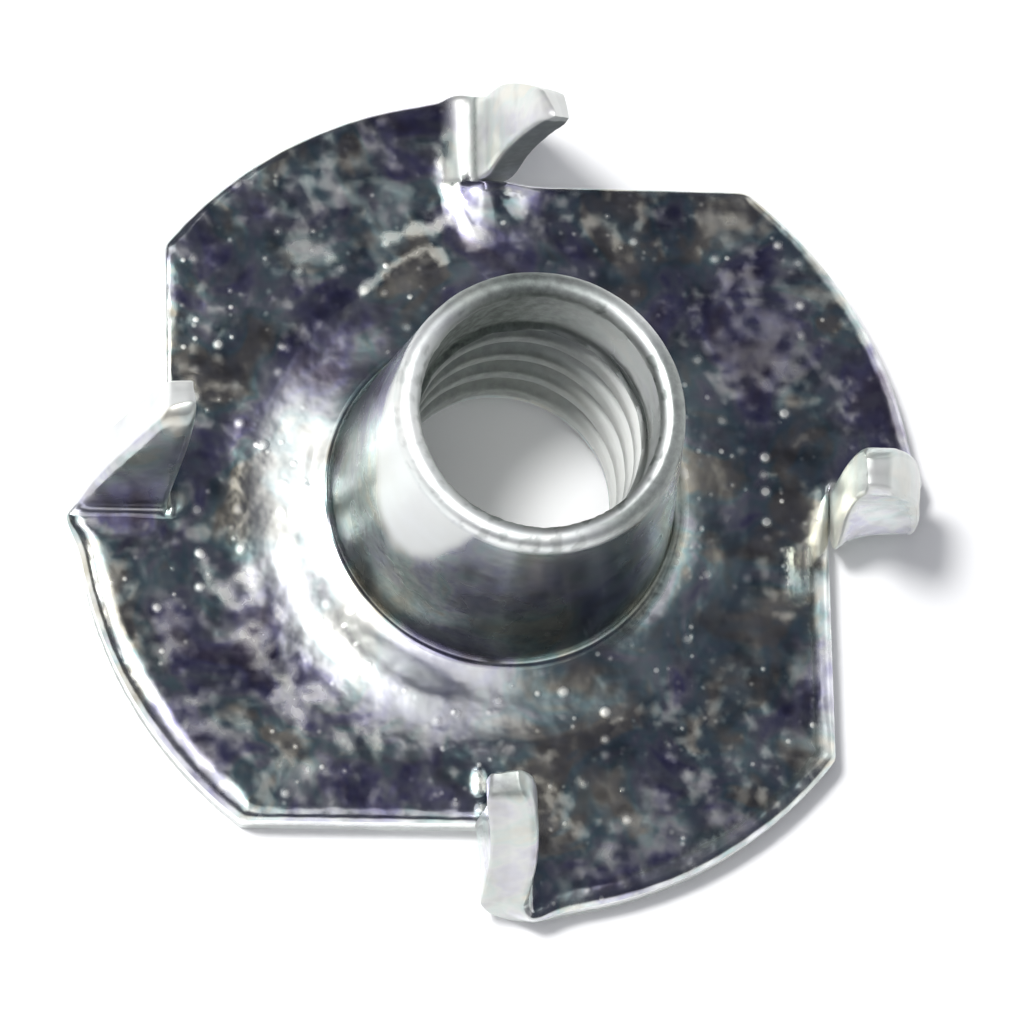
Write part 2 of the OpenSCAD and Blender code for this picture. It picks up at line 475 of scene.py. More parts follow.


# Raised marks on the upper face: points along each, width, height and how pale. The
# pale of the streak in from the first prong's bend, of the two streaks beside the
# second prong and of the spots by the slit ends of the first and third is a painted
# highlight over the raised metal.
MARKS = [
    (((-3.12, 3.93), (-3.05, 4.9), (-2.2, 5.6), (-1.5, 5.95), (-1.12, 5.4)), 0.1, 0.024, 0.5),
    (((-1.3, 5.9), (-0.9, 5.2), (-0.6, 4.9)), 0.09, 0.02, 0.55),
    (((-2.4, 6.15), (-1.7, 6.4), (-1.0, 6.6)), 0.2, 0.02, 0.62),
    (((-1.0, 7.9), (-0.72, 7.0), (-0.35, 6.2)), 0.3, 0.045, 0.6),
    (((-1.9, 7.3), (-2.8, 7.55), (-3.5, 7.3)), 0.12, 0.012, 0.2),
    (((-3.6, 7.6), (-2.9, 6.9), (-2.7, 6.3)), 0.1, 0.01, 0.15),
    (((6.98, -1.0), (6.96, -2.0)), 0.05, 0.02, 0.5),
    (((6.5, -1.0), (6.46, -2.2)), 0.05, 0.018, 0.45),
    (((-6.3, -3.2), (-5.6, -2.7), (-5.1, -3.0)), 0.15, 0.01, 0.12),
    (((2.4, -7.6), (3.1, -7.3), (3.6, -6.8)), 0.1, 0.01, 0.2),
    (((-0.61, -6.4), (-0.62, -6.75)), 0.11, 0.06, 0.6),
    (((-0.55, -7.2), (-0.52, -7.4)), 0.11, 0.05, 0.6),
    (((0.34, 7.22), (0.34, 7.3)), 0.06, 0.03, 0.5),
    (((0.58, 7.22), (0.58, 7.3)), 0.06, 0.03, 0.5),
]


def mark_gaps(points):
    """Distance of each point from each raised mark."""
    for path, width, height, pale in MARKS:
        path = np.array(path)
        gap = np.full(len(points), FLANGE_R)
        for a, b in zip(path[:-1], path[1:]):
            t = np.clip(((points - a) @ (b - a)) / ((b - a) @ (b - a)), 0, 1)
            gap = np.minimum(gap, np.linalg.norm(points - a - t[:, None] * (b - a), axis=1))
        yield gap, width, height, pale


# Frosted patches of the upper face: x, y, reach and strength.
PATCHES = [
    (-4.3, 5.8, 0.9, 0.5),
    (-2.4, 6.4, 1.5, 0.28),
    (-1.5, 6.6, 0.5, 0.45),
    (-3.2, 8.0, 0.9, 0.32),
    (-5.9, -2.3, 0.8, 0.7),
    (-5.5, -3.5, 1.0, 0.68),
    (-4.6, -4.6, 0.9, 0.65),
    (-3.3, -5.5, 0.8, 0.68),
    (-7.6, -3.2, 1.1, 0.42),
    (-6.6, -5.4, 1.2, 0.5),
    (-4.6, -6.3, 1.0, 0.45),
    (6.6, 3.0, 1.0, 0.4),
    (6.0, 3.6, 1.8, 0.28),
    (7.0, 5.0, 0.9, 0.32),
    (5.3, 6.6, 0.9, 0.38),
    (3.2, -7.7, 1.3, 0.26),
    (2.2, -8.2, 0.7, 0.44),
    (5.0, -7.3, 0.9, 0.3),
    (6.7, -5.6, 0.8, 0.28),
    (-1.9, -5.6, 0.9, 0.35),
    (7.0, -1.8, 0.8, 0.36),
    (6.8, -4.0, 0.7, 0.3),
]


def frosting(points):
    """How frosted the upper face is at each point: mottling, patches and marks."""
    flat = level(points)
    ragged = field(flat, 0.42, 11) + 0.8 * field(flat, 0.24, 13) + 0.4 * field(flat, 0.14, 14)
    area = field(flat, 1.7, 12)
    total = 0.32 * smooth((ragged + 0.9 * area - 0.15) / 0.9)
    for x, y, reach, strength in PATCHES:
        gap = np.hypot(points[:, 0] - x, points[:, 1] - y) / reach
        total = np.maximum(total, 0.9 * strength * smooth((1.0 - gap + 0.8 * ragged) / 1.3))
    # Frosting from the marks, which beside the prongs is a painted highlight.
    for gap, width, _, pale in mark_gaps(points):
        total = np.maximum(total, pale * smooth(1.3 - gap / width + 0.8 * ragged))
    return total


def top_relief(points):
    """Unevenness of the upper face."""
    flat = level(points)
    h = 0.042 * field(flat, 2.9, 1) + 0.016 * field(flat, 1.15, 2) + 0.005 * field(flat, 0.55, 3)
    for gap, width, height, _ in mark_gaps(points):
        h += height * bell(gap, 0, width)
    return h


# Painted shade: a dark line inside the rolled edge, on the lower right.
LINE_AZIMUTH = -0.7
LINE_HALF = math.radians(36)
# Where the torn band of the shear shows dark, as painted shade over the torn metal: on
# the right and at the lower left.
TORN_SHADE_AZIMUTH = -0.25
TORN_SHADE_HALF = math.radians(78)
TORN_SHADE_LEFT = math.radians(-152)


def build_sheet():
    """Top, side and bottom of the flat blank with its strips: vertices as flat x, y
    and height, triangles, each vertex's strip and looks, and the inner circles' ids."""
    outline, rolls, unders = blank_outline()
    n = len(outline)
    inward = inward_normals(outline)

    # Upper face: rows of points along the roll, and a grid inside them.
    free = []
    for share in ROLL_ROWS:
        d = share * rolls
        q = outline + inward * d[:, None]
        dist, inside, _ = edge_distance(q, outline)
        free.append(q[inside & (dist > 0.93 * d) & (np.hypot(*q.T) > RING_R + 0.1)])
    g = grid(TOP_STEP, TOP_SEED)
    g = g[np.hypot(*g.T) > RING_R + 0.7 * TOP_STEP]
    dist, inside, nearest = edge_distance(g, outline)
    free.append(g[inside & (dist > rolls[nearest] + 0.05)])
    top, tris = triangulate(outline, circle_points(RING_R), np.concatenate(free))
    dist, _, nearest = edge_distance(top, outline)
    dist[:n] = 0
    roll = rolls[nearest]
    roll[:n] = rolls
    drop = roll - np.sqrt(np.maximum(roll**2 - (roll - np.minimum(dist, roll)) ** 2, 0))
    drop = drop * ROLL_DEPTH
    radius = np.hypot(*top.T)
    z = SHEET_T - drop + top_relief(top) * smooth((radius - RING_R) / 0.6) * smooth(dist / 0.3)
    azimuth = np.arctan2(top[:, 1], top[:, 0])
    z = z + skirt_height(radius, azimuth)
    edge = 1 - smooth((dist - 0.3 * roll) / (0.7 * roll))
    flat = level(top)
    z = z + 0.018 * field(flat, 0.26, 31) * edge * smooth(dist / 0.12)
    verts, tris = [np.column_stack((top, z))], [tris]
    owners = [strip_of(top)]

    # Near the barrel the skirt is bare: a little burnish, and a painted highlight on the lower
    # left.
    polish_and_highlight = smooth((RING_R + 0.4 - radius) / 0.9) * burnish_and_highlight(azimuth)
    up, at_tip, matt, bright, slit, crease = strip_looks(top, owners[0])
    blotch = smooth(0.5 + 0.9 * field(flat, 0.4, 32))
    lined = bell(dist, 0.95 * roll, 0.07)
    lined = lined * smooth((LINE_HALF - np.abs(azimuth - LINE_AZIMUTH)) / 0.1)
    # Painted shade darkens the slit edge near the tips, the line inside the roll on the lower right
    # and the crease across each bend.
    torn_and_shade = np.maximum(np.maximum(0.6 * slit * at_tip, 0.7 * lined * (1 - up)), crease)
    bare_and_highlight = np.maximum((0.1 + 0.5 * blotch) * edge, 0.6 * polish_and_highlight) * (1 - up) + 0.3 * bright * up
    frost_and_highlight = frosting(top) * (1 - 0.5 * edge) * (1 - up) + np.maximum(0.6 * matt * up, 0.5 * at_tip)
    looks = [np.column_stack((torn_and_shade, bare_and_highlight, 0.8 * up, frost_and_highlight, 0.2 * edge + 0.3 * up))]

    # Side: the smooth band of the shear above, its torn band below.
    up, at_tip, matt, bright, slit = (v[:n] for v in (up, at_tip, matt, bright, slit))
    base, last = len(top), np.arange(n)
    nxt = np.roll(last, -1)
    azimuth = np.arctan2(outline[:, 1], outline[:, 0])
    # Painted shade: the torn band is faint all round and darker on the right and at the lower left.
    right = smooth((TORN_SHADE_HALF - np.abs(azimuth - TORN_SHADE_AZIMUTH)) / 0.35)
    shown = np.maximum(0.2 + 0.3 * right, 0.75 * bell(azimuth, TORN_SHADE_LEFT, 0.55))
    for share, inset in zip(SIDE_SHARES, SIDE_INSETS):
        height = (SHEET_T - ROLL_DEPTH * rolls) * share
        p3 = np.column_stack((outline, height))
        rough = 0.016 * field(p3 * (1, 1, 0.25), 0.12, 7) + 0.006 * field(p3, 0.35, 8)
        inset = inset + rough * (0.35 + 0.65 * smooth((0.6 - share) / 0.2)) * (share > 0)
        below = np.maximum(unders - height, 0)
        inset = inset + unders - np.sqrt(unders**2 - below**2)
        verts.append(np.column_stack((outline + inward * inset[:, None], height)))
        ragged = float(smooth((0.52 - share) / 0.12))
        look = np.tile(EDGE_LOOK, (n, 1))
        look[:, 0] = ragged * shown
        frosted_and_lit = np.maximum(matt * (1 - slit), 0.5 * at_tip)
        # On the slit edge: dark torn metal, with painted shade over it.
        dark = np.maximum(0.08 * ragged, slit)
        on_strip = np.column_stack((dark, bright, 0.8 + 0 * up, frosted_and_lit, 0.6 + 0 * up))
        looks.append(look + up[:, None] * (on_strip - look))
        owners.append(owners[0][:n])
        ids = base + np.arange(n)
        tris.append(np.stack((last, ids, last[nxt]), -1))
        tris.append(np.stack((ids, ids[nxt], last[nxt]), -1))
        last = ids
        base += n

    # Underside, with the lowest ring of the side as its outline: a coarse grid, and a
    # finer one on the strips.
    rim = verts[-1][:, :2]
    coarse, fine = grid(BOTTOM_STEP, BOTTOM_SEED), grid(STRIP_STEP, STRIP_SEED)
    dist, inside, _ = edge_distance(coarse, rim)
    keep = inside & (dist > 0.2) & (np.hypot(*coarse.T) > UNDER_R + 0.2)
    coarse = coarse[keep & (strip_of(coarse) < 0)]
    dist, inside, _ = edge_distance(fine, rim)
    fine = fine[inside & (dist > 0.08) & (strip_of(fine) >= 0)]
    bottom, under = triangulate(rim, circle_points(UNDER_R), np.concatenate((coarse, fine)))
    ids = np.concatenate((last, base + np.arange(len(bottom) - n)))
    tris.append(ids[under][:, ::-1])
    extra = bottom[n:]
    verts.append(level(extra))
    owners.append(strip_of(extra))
    looks.append(np.tile(UNDERSIDE_LOOK, (len(extra), 1)))
    verts, tris, owners, looks = map(np.concatenate, (verts, tris, owners, looks))
    return verts, tris, owners, looks, n + np.arange(COLUMNS), base + np.arange(COLUMNS)


def root_path(s, k):
    """The flange's own edge beside a bend, dragged up by it: x, z and heading."""
    drag = PRONGS[k]["drag"]
    x, z, heading = bend_path(np.minimum(s, DRAG_S), k)
    over = np.maximum(s - DRAG_S, 0)
    ease = np.exp(-over / DRAG_EASE)
    z = z + 0.14 * drag * (1 - ease)
    stays = 1 - smooth(over / (0.5 + 2.2 * drag))
    x = BEND_X + s + (x - BEND_X - np.minimum(s, DRAG_S)) * stays
    return x, SHEET_T / 2 + (z - SHEET_T / 2) * stays, heading * ease * stays


def fold(verts, owner):
    """Bends the strips up and shapes what the bend pushes about."""
    out = verts.copy()
    outer = FLANGE_R - SQUEEZE_W
    for k, p in enumerate(PRONGS):
        local = turn(verts[:, :2], -k)
        z = verts[:, 2]
        s = local[:, 0] - BEND_X
        squeeze = p["swell"] * bell(s, 0.35, 0.62) * smooth((local[:, 1] - outer) / SQUEEZE_W)
        squeeze *= 0.4 + 0.6 * smooth(z / SHEET_T)

        # The strip, thinned by the bend and by wear, leaning in, and torn at its root.
        on = owner == k
        worn = np.clip((s[on] - (LENGTHS[k] - TIP_WEAR)) / TIP_WEAR, 0, 1)
        h = (z[on] - SHEET_T / 2) * (1 - (1 - TIP_THIN) * worn**2)
        h = h * (1 - (1 - p["thin"]) * smooth((s[on] + p["soft"]) / 1.2))
        px, pz, heading = bend_path(s[on], k)
        nx, nz = px - h * np.sin(heading), pz + h * np.cos(heading)
        ny = local[on, 1] + squeeze[on] - p["tuck"] * smooth((nz - 1.3) / 4.5)
        inner = np.exp(-np.maximum(ny - SLIT_Y, 0) / 0.45)
        nx = nx + p["web"] * inner * bell(nz, 1.35, 1.1) * smooth(0.5 - h / SHEET_T)
        moved = turn(np.stack((nx, ny), -1), k)
        out[on] = np.column_stack((moved, nz))

        # The rim just before the bend swells with it.
        start = max(0.0, -p["soft"])
        before = (owner < 0) & (s <= start) & (s > -1.5) & (local[:, 1] > outer)
        moved = turn(np.stack((local[before, 0], local[before, 1] + squeeze[before]), -1), k)
        out[before, :2] = moved

        # The flange inside the bend is dragged up with it.
        low = CUT_Y - p["reach"]
        near = (owner < 0) & (s > -p["soft"]) & (s < 4.2) & (local[:, 1] > low)
        h = z[near] - SHEET_T / 2
        px, pz, heading = root_path(s[near], k)
        w = smooth((local[near, 1] - low) / p["reach"])
        nx = px - h * np.sin(heading)
        nz = pz + h * np.cos(heading)
        nx = local[near, 0] + w * (nx - local[near, 0])
        moved = turn(np.stack((nx, local[near, 1]), -1), k)
        out[near] = np.column_stack((moved, z[near] + w * (nz - z[near])))
    return out


def on_arc(centre, radius, a):
    """Point of a circle at angle a."""
    return centre + radius * np.array([math.cos(a), math.sin(a)])


def outer_profile():
    """Rings over the skirt, up the outside of the barrel and over its lip: radius,
    height and kind."""
    rings = []
    skirt_c = np.array([SKIRT_R, SHEET_T + SKIRT_ARC])
    foot = np.array([FOOT_R, SHEET_T + SKIRT_RISE])
    rim_c = np.array([RIM_R - RIM_ROUND, TOTAL_H - RIM_ROUND])
    gap = rim_c - foot
    lean = math.atan(-gap[0] / gap[1]) - math.asin(RIM_ROUND / np.linalg.norm(gap))
    wall_n = np.array([math.cos(lean), math.sin(lean)])
    wall_up = np.array([-math.sin(lean), math.cos(lean)])
    side = (skirt_c - foot) @ wall_n - FOOT_FILLET
    down = math.sqrt((SKIRT_ARC - FOOT_FILLET) ** 2 - side**2)
    fillet_c = skirt_c - side * wall_n - down * wall_up
    fillet_n = (skirt_c - fillet_c) / (SKIRT_ARC - FOOT_FILLET)
    end = fillet_c - FOOT_FILLET * fillet_n
    for r in np.linspace(SKIRT_R + 0.1, end[0] + 0.06, 18):
        rings.append((r, SHEET_T, "skirt"))
    start = math.atan2(-fillet_n[1], -fillet_n[0]) % math.tau
    stop = math.atan2(-wall_n[1], -wall_n[0]) % math.tau
    for a in np.linspace(start, stop, 6):
        rings.append((*on_arc(fillet_c, FOOT_FILLET, a), "foot"))
    low, high = fillet_c - FOOT_FILLET * wall_n, rim_c + RIM_ROUND * wall_n
    for t in np.linspace(0, 1, 38)[1:-1]:
        rings.append((*(low + (high - low) * t), "wall"))
    for a in np.linspace(lean, math.pi / 2, 9):
        rings.append((*on_arc(rim_c, RIM_ROUND, a), "lip"))
    for a in np.linspace(0, math.pi / 2, 9)[1:]:
        r = rim_c[0] - (rim_c[0] - LIP_R) * math.sin(a)
        rings.append((r, TOTAL_H - LIP_H * (1 - math.cos(a)), "lip"))
    return rings


def thread_radius(z, theta):
    """Radius of the bore, with a worn thread below a wider throat, and how far each
    place lies in the groove."""
    u = np.mod(z / PITCH - theta / math.tau, 1.0)
    off = np.abs(np.mod(u - THREAD_MIDDLE + 0.5, 1.0) - 0.5)
    cut = 1 - smooth((off - THREAD_FLOOR) / THREAD_FLANK)
    cut = cut * smooth((z - THREAD_START) / 0.6) * smooth((THREAD_TOP - z) / 0.25)
    throat = (LIP_R - BORE_R) * smooth((z - THREAD_TOP) / 0.16)
    return BORE_R + throat + THREAD_DEPTH * cut, cut


# Painted highlight on the wall, as a bare and frosted patch: azimuths in degrees, and
# the height it starts at there.
WALL_HIGHLIGHT = (
    (150, 160, 170, 180, 190, 200, 208, 216, 224, 232, 240, 248),
    (8.5, 7.4, 6.8, 6.3, 5.5, 4.8, 4.4, 4.2, 4.5, 5.4, 6.8, 8.5),
)
# Azimuths of the painted shade on the right of the skirt's corner, of the rim and of the
# wall, of the painted shade at the back and the painted highlight on the left of the rim,
# of the painted shade on the lower left of the wall, and of the side of the bore painted
# pale as lit and of the painted highlight in its throat.
SKIRT_DARK = math.radians(-12)
RIM_DARK = math.radians(-15)
WALL_DARK = math.radians(-5)
RIM_BACK = math.radians(98)
RIM_HIGHLIGHT = math.radians(195)
WALL_LOW = math.radians(205)
BORE_PALE = 0.15
BORE_HIGHLIGHT = 0.4
# Least height between the rows of the thread and the level ends of the bore.
ROW_GAP = 0.02


def build_barrel(first, flange_ring, under_ring):
    """Vertices, faces and looks of the barrel. Its new vertices count from first, and
    it joins the flange and the underside on their rings."""
    theta = math.tau * np.arange(COLUMNS) / COLUMNS
    nxt = np.roll(np.arange(COLUMNS), -1)
    verts, looks, faces = [], [], []
    count = first

    def add_ring(points, look):
        nonlocal count
        verts.append(points)
        looks.append(np.stack([np.broadcast_to(v, COLUMNS) for v in look], -1))
        ids = count + np.arange(COLUMNS)
        count += COLUMNS
        return ids

    def join(a, b):
        faces.append(np.stack((a, a[nxt], b[nxt], b), -1))

    last = flange_ring
    for r, z, kind in outer_profile():
        rr, zz = np.full(COLUMNS, r), np.full(COLUMNS, z)
        at = around(rr, theta, zz)
        if kind == "skirt":
            zz = zz + skirt_height(rr, theta)
            zz = zz + 0.016 * field(at * (1, 1, 0), 1.15, 2) * smooth((SKIRT_R + 0.1 - r) / 0.4)
            groove = bell(r, GROOVE_R, GROOVE_W)
            groove = groove * smooth(1.6 - np.abs(theta - GROOVE_AZIMUTH) / 0.14)
            zz = zz - GROOVE_DEPTH * groove
            worn = float(smooth((RING_R + 0.5 - r) / 0.9))
            calm = 0.3 * float(smooth((SKIRT_R - r) / 1.2))
            # Painted shade darkens the skirt's corner at the foot on the right. The bare part on
            # the lower left is partly burnish and partly a painted highlight.
            shade = 0.8 * smooth((np.cos(theta - SKIRT_DARK) - 0.45) / 0.4)
            shade = shade * float(smooth((4.22 - r) / 0.1))
            look = (shade, 0.6 * worn * burnish_and_highlight(theta), calm, 0.0, 0.15)
        elif kind == "lip":
            # The rim is uneven, and pitted on its inner side.
            zz = zz + 0.018 * field(at, 1.2, 24)
            rr = rr + 0.012 * field(at, 0.6, 26)
            rr = rr + 0.02 * field(at, 0.13, 27) * (z < TOTAL_H - 0.15) * (r < 2.8)
            # Painted shade darkens the back and the right of the rim and its inner side, which the
            # pits break up. A painted highlight lightens and frosts its left.
            behind = bell(theta, RIM_BACK, math.radians(50))
            pits = smooth((field(at, 0.28, 28) + 0.3 * field(at, 0.1, 29) - 0.05) / 0.25)
            inner = float(smooth((2.95 - r) / 0.2)) * (0.4 + 0.6 * pits)
            right = 0.75 * smooth((np.cos(theta - RIM_DARK) - 0.35) / 0.5) * (r > 2.85)
            dark = np.maximum(np.maximum(0.9 * behind, right), np.maximum(0.75 * inner, 0.4 * pits))
            wear_and_highlight = bell(theta, RIM_HIGHLIGHT, math.radians(38))
            look = (dark * (1 - 0.5 * wear_and_highlight), 0.9, 0.85, 0.05 + 0.35 * wear_and_highlight, 1.0)
        else:
            # Foot and wall: fine upright lines of the drawing, and a slow unevenness.
            stretched = np.stack((3 * np.cos(theta), 3 * np.sin(theta), zz * 0.06), -1)
            rr = rr + 0.003 * field(stretched, 0.3, 22) + 0.004 * field(at, 1.5, 23)
            up = float(smooth((z - 4.5) / 2.5))
            # Painted shade: the foot and the wall are darker on the right, and the wall is darker
            # low on its front left, below the painted highlight.
            shade = 0.75 if kind == "foot" else 0.3
            shade = shade * smooth((np.cos(theta - WALL_DARK) - 0.35) / 0.5)
            # Painted highlight: a bare, frosted patch high on the left of the wall.
            start = np.interp(np.degrees(theta), *WALL_HIGHLIGHT) + 0.25 * field(at, 0.8, 33)
            patch = smooth((z - start + 0.5) / 1.1)
            low = smooth((np.cos(theta - WALL_LOW) + 0.2) / 0.6) * (1 - patch)
            low = low * float(smooth((5.5 - z) / 1.5)) * (kind != "foot")
            wall_bare_and_highlight = 0.12 + 0.83 * patch + 0.25 * up * (1 - patch)
            look = (np.maximum(shade, 0.55 * low), wall_bare_and_highlight, 0.92, 0.9 * patch, 0.15 + 0.15 * up)
        ids = add_ring(around(rr, theta, zz), look)
        join(last, ids)
        last = ids
    lip_ring, z_top = last, TOTAL_H - LIP_H

    # Underside: the draw radius, from the bore out to the flat, and one ring more.
    low_ids = None
    for a in np.linspace(0, math.pi / 2, 10):
        r, z = BORE_R + ENTRY_R * (1 - math.cos(a)), ENTRY_R * (1 - math.sin(a))
        ids = add_ring(around(r, theta, np.full(COLUMNS, z)), DRAW_LOOK)
        if low_ids is None:
            low_ids = ids
        else:
            join(last, ids)
        last = ids
    middle = 0.5 * (BORE_R + ENTRY_R + UNDER_R)
    mid = add_ring(around(middle, theta, np.zeros(COLUMNS)), UNDERSIDE_LOOK)
    join(last, mid)
    join(mid, under_ring)

    # Bore: rows that climb with the thread, cut off level at both ends.
    turns = range(int(ENTRY_R / PITCH) - 2, int(z_top / PITCH) + 2)
    rows = [n + u for n in turns for u in ROWS]
    table = np.empty((len(rows), COLUMNS), int)
    for i, row in enumerate(rows):
        z = PITCH * (row + theta / math.tau)
        inside = (z > ENTRY_R + ROW_GAP) & (z < z_top - ROW_GAP)
        table[i] = np.where(z >= z_top - ROW_GAP, lip_ring, low_ids)
        table[i, inside] = count + np.arange(inside.sum())
        count += int(inside.sum())
        radius, cut = thread_radius(z, theta)
        at = around(radius, theta, z)[inside]
        at[:, :2] *= (1 + 0.006 * field(at, 0.3, 21) / BORE_R)[:, None]
        verts.append(at)
        z, cut, azimuth = z[inside], cut[inside], theta[inside]
        # Painted light and shade in the bore: dark inside, less so in the grooves of the thread and
        # more in the throat, with painted shade along the ledge. The right side is painted pale and
        # frosted as lit, and the throat has a painted highlight on the right.
        pale = bell(angle_from(BORE_PALE, azimuth), 0, 0.75)
        throat = smooth((z - THREAD_TOP + 0.05) / 0.15)
        ledge = bell(z, THREAD_TOP + 0.02, 0.09)
        throat_highlight = throat * bell(angle_from(BORE_HIGHLIGHT, azimuth), 0, 0.8)
        dark = (0.72 - 0.24 * cut + 0.26 * throat) * (1 - np.maximum(pale, throat_highlight)) ** 1.3
        dark = np.maximum(dark, (0.9 - 0.3 * pale) * ledge)
        rest = np.tile((0.85, 0.85), (len(at), 1))
        frosted_and_lit = (0.12 + 0.88 * pale * (1 - 0.35 * cut)) * (1 - throat)
        looks.append(np.column_stack((dark, rest, frosted_and_lit, 1.0 - 0.85 * throat_highlight)))
    step = len(ROWS)
    wrapped = np.concatenate((table, np.repeat(lip_ring[None], step, 0)))
    low, high = table[:-1], table[1:]
    low_next = np.concatenate((low[:, 1:], wrapped[step : step + len(low), :1]), 1)
    high_next = np.concatenate((high[:, 1:], wrapped[step + 1 : step + 1 + len(low), :1]), 1)
    quads = np.stack((high, high_next, low_next, low), -1).reshape(-1, 4)
    polygons = [f for part in faces for f in part.tolist()]
    for quad in quads.tolist():
        kept = [v for i, v in enumerate(quad) if v != quad[i - 1]]
        if len(set(kept)) == len(kept) and len(kept) > 2:
            polygons.append(kept)
    return np.concatenate(verts), polygons, np.concatenate(looks)


def put_in_scene(name, data):
    """A new object of the given data."""
    made = bpy.data.objects.new(name, data)
    bpy.context.scene.collection.objects.link(made)
    return made


def build_nut():
    """The whole nut as one mesh object."""
    verts, tris, owners, looks, flange_ring, under_ring = build_sheet()
    verts = fold(verts, owners)
    more, polygons, more_looks = build_barrel(len(verts), flange_ring, under_ring)
    looks = np.concatenate((looks, more_looks))
    verts = np.concatenate((verts, more))
    mesh = bpy.data.meshes.new(PIECE)
    mesh.from_pydata((verts * MM).tolist(), [], tris.tolist() + polygons)
    for name, values in zip(LOOKS, looks.T):
        made = mesh.attributes.new(name, "FLOAT", "POINT")
        made.data.foreach_set("value", values.astype(np.float32))
    mesh.polygons.foreach_set("use_smooth", [True] * len(mesh.polygons))
    mesh.set_sharp_from_angle(angle=SHARP_ANGLE)
    if mesh.validate(verbose=True):
        print("note: the mesh had faults")
    mesh.update()
    return put_in_scene(PIECE, mesh)


class Nodes:
    """Short calls for a node tree."""

    def __init__(self, tree):
        self.tree = tree
        tree.nodes.clear()

    def add(self, kind, **values):
        node = self.tree.nodes.new("ShaderNode" + kind)
        for name, value in values.items():
            setattr(node, name, value)
        return node

    def link(self, out, into):
        self.tree.links.new(out, into)

    def feed(self, socket, v):
        """Gives a socket a number or a colour, or links another socket to it."""
        if isinstance(v, (int, float)):
            socket.default_value = v
        elif isinstance(v, tuple):
            socket.default_value = v + (1.0,)
        else:
            self.link(v, socket)

    def math(self, op, a, b):
        node = self.add("Math", operation=op)
        self.feed(node.inputs[0], a)
        self.feed(node.inputs[1], b)
        return node.outputs[0]

    def times(self, a, b):
        return self.math("MULTIPLY", a, b)

    def plus(self, a, b):
        return self.math("ADD", a, b)

    def noise(self, vector, *settings):
        """Noise of the given scale, detail, roughness and distortion."""
        node = self.add("TexNoise")
        for name, v in zip(("Scale", "Detail", "Roughness", "Distortion"), settings):
            node.inputs[name].default_value = v
        self.link(vector, node.inputs["Vector"])
        return node.outputs["Fac"]

    def ramp(self, fac, stops, mode="LINEAR"):
        node = self.add("ValToRGB")
        ramp = node.color_ramp
        ramp.interpolation = mode
        while len(ramp.elements) < len(stops):
            ramp.elements.new(0.5)
        for element, (at, colour) in zip(ramp.elements, stops):
            element.position = at
            element.color = colour + (1.0,)
        self.link(fac, node.inputs["Fac"])
        return node.outputs["Color"]

    def greys(self, fac, *stops, mode="LINEAR"):
        """Ramp of neutral colours. Each stop is a place and a level."""
        return self.ramp(fac, [(at, (v, v, v)) for at, v in stops], mode)

    def mix(self, fac, a, b, blend="MIX"):
        node = self.add("Mix", data_type="RGBA", blend_type=blend)
        for i, v in ((0, fac), (6, a), (7, b)):
            self.feed(node.inputs[i], v)
        return node.outputs[2]


# Small round bumps: cells to the metre, share of cells left empty, and depth.
BUMP_LAYERS = ((2100.0, 0.66, 0.26), (3700.0, 0.6, 0.14))
# Depth in metres of a height of 1 in the material.
BUMP_DEPTH = 0.00004
# Mottling of the film, and the shades of torn metal, which also give painted shade.
FILM = [
    (0.32, (0.23, 0.2, 0.27)),
    (0.41, (0.27, 0.26, 0.42)),
    (0.48, (0.43, 0.44, 0.47)),
    (0.54, (0.3, 0.43, 0.43)),
    (0.62, (0.48, 0.45, 0.36)),
]
TORN_METAL_AND_SHADE = [(0.35, (0.07, 0.085, 0.078)), (0.65, (0.19, 0.22, 0.2))]
FLECKS = (0.62, 0.62, 0.58)
# Pale tops of the bumps: painted glints.
BUMP_TOPS = (0.85, 0.84, 0.78)
FROSTING_AND_HIGHLIGHT = (0.8, 0.79, 0.71)
BARE_ZINC_AND_HIGHLIGHT = (0.88, 0.9, 0.88)


